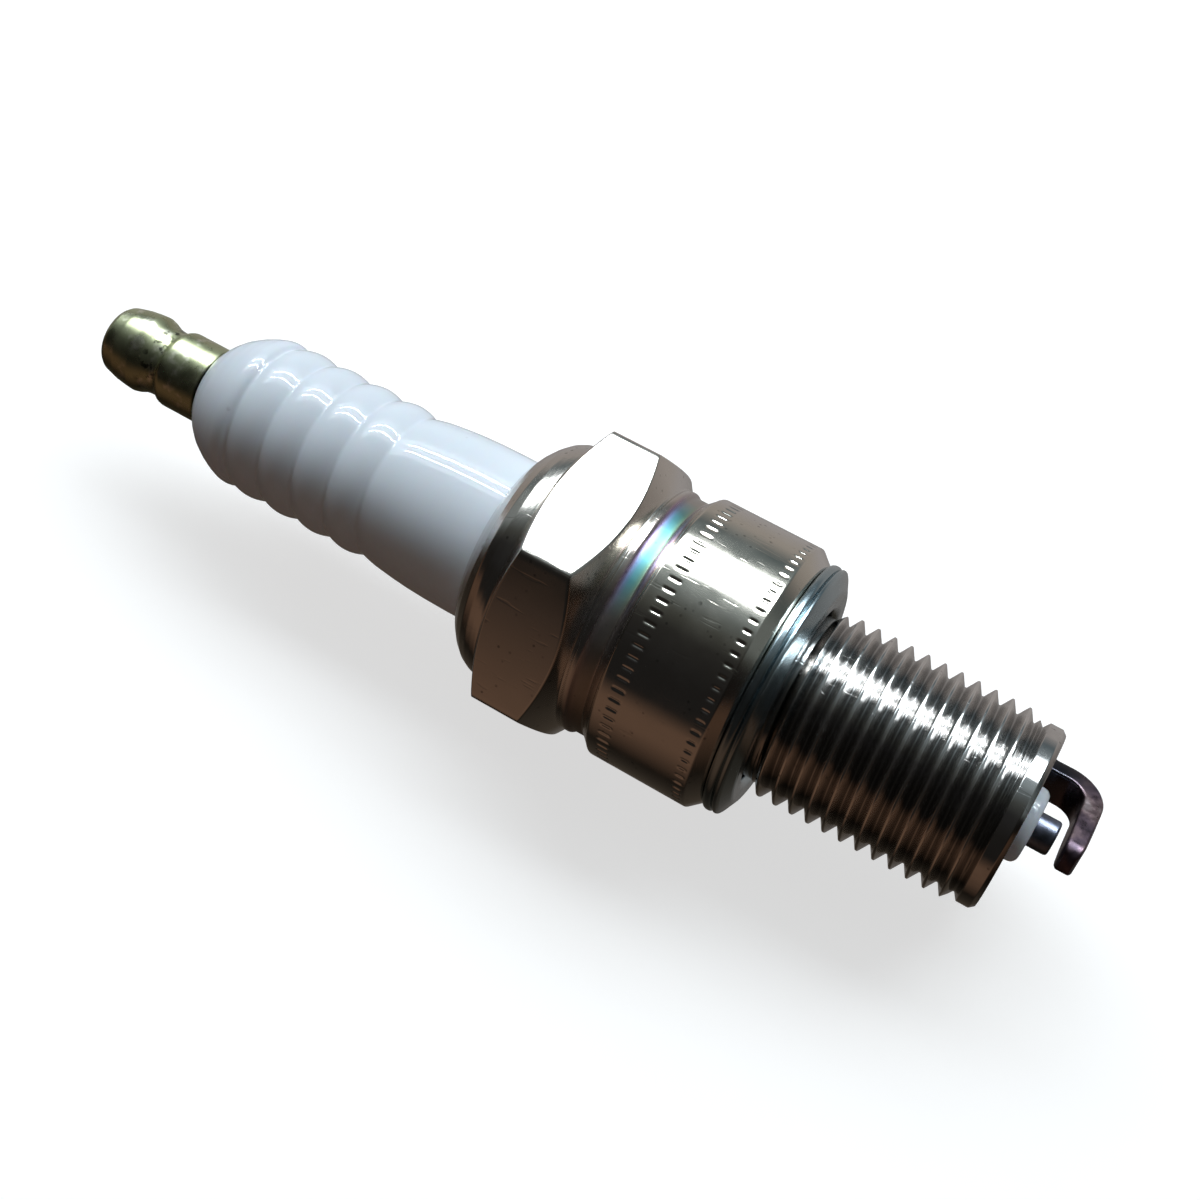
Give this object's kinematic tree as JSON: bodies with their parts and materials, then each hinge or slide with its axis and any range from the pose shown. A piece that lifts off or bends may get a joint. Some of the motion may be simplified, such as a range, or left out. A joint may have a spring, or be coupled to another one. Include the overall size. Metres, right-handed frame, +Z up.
{
  "type": "spark plug",
  "caption": "Threaded spark plug with a ribbed ceramic insulator, hex shell, crush gasket, screw-on terminal and hooked side electrode.",
  "frame": {"origin": "on the plug's axis at the shell's seat plane, where the gasket rests", "axes": "+X along the axis towards the firing tip, +Z up and square to the uppermost hex flat"},
  "size_m": [0.081, 0.024, 0.0208],
  "materials": {
    "terminal_brass": "glossy yellow passivated",
    "stud_steel": "satin",
    "glazed_alumina": "clear gloss glaze",
    "packing_steel": "satin",
    "talc": "pressed powder",
    "nickel_plated_steel": "bright nickel plate",
    "zinc_plated_steel": "blue-white zinc",
    "seal_glass": "fused",
    "resistor_carbon": "matte",
    "copper": "bright copper",
    "electrode_nickel": "dark satin",
    "strap_nickel": "heat-tinted satin"
  },
  "bodies": {
    "plug_body": {"shell": "nickel_plated_steel", "insulator": "glazed_alumina", "terminal_stud": "stud_steel", "upper_packing_ring": "packing_steel", "talc_ring": "talc", "lower_packing_ring": "packing_steel", "seat_packing_washer": "packing_steel", "upper_glass_seal": "seal_glass", "resistor": "resistor_carbon", "lower_glass_seal": "seal_glass", "copper_core": "copper", "centre_electrode": "electrode_nickel", "ground_electrode": "strap_nickel"},
    "terminal_nut": {"terminal_nut": "terminal_brass"},
    "gasket": {"gasket": "zinc_plated_steel"}
  },
  "joints": [
    {"name": "terminal_nut_unscrew", "type": "slide", "parent": "plug_body", "child": "terminal_nut", "axis": [-1, 0, 0], "range_m": [0, 0.0082]},
    {"name": "gasket_turn", "type": "hinge", "parent": "plug_body", "child": "gasket", "pos_m": [0.0007, 0, 0], "axis": [1, 0, 0], "continuous": true}
  ]
}
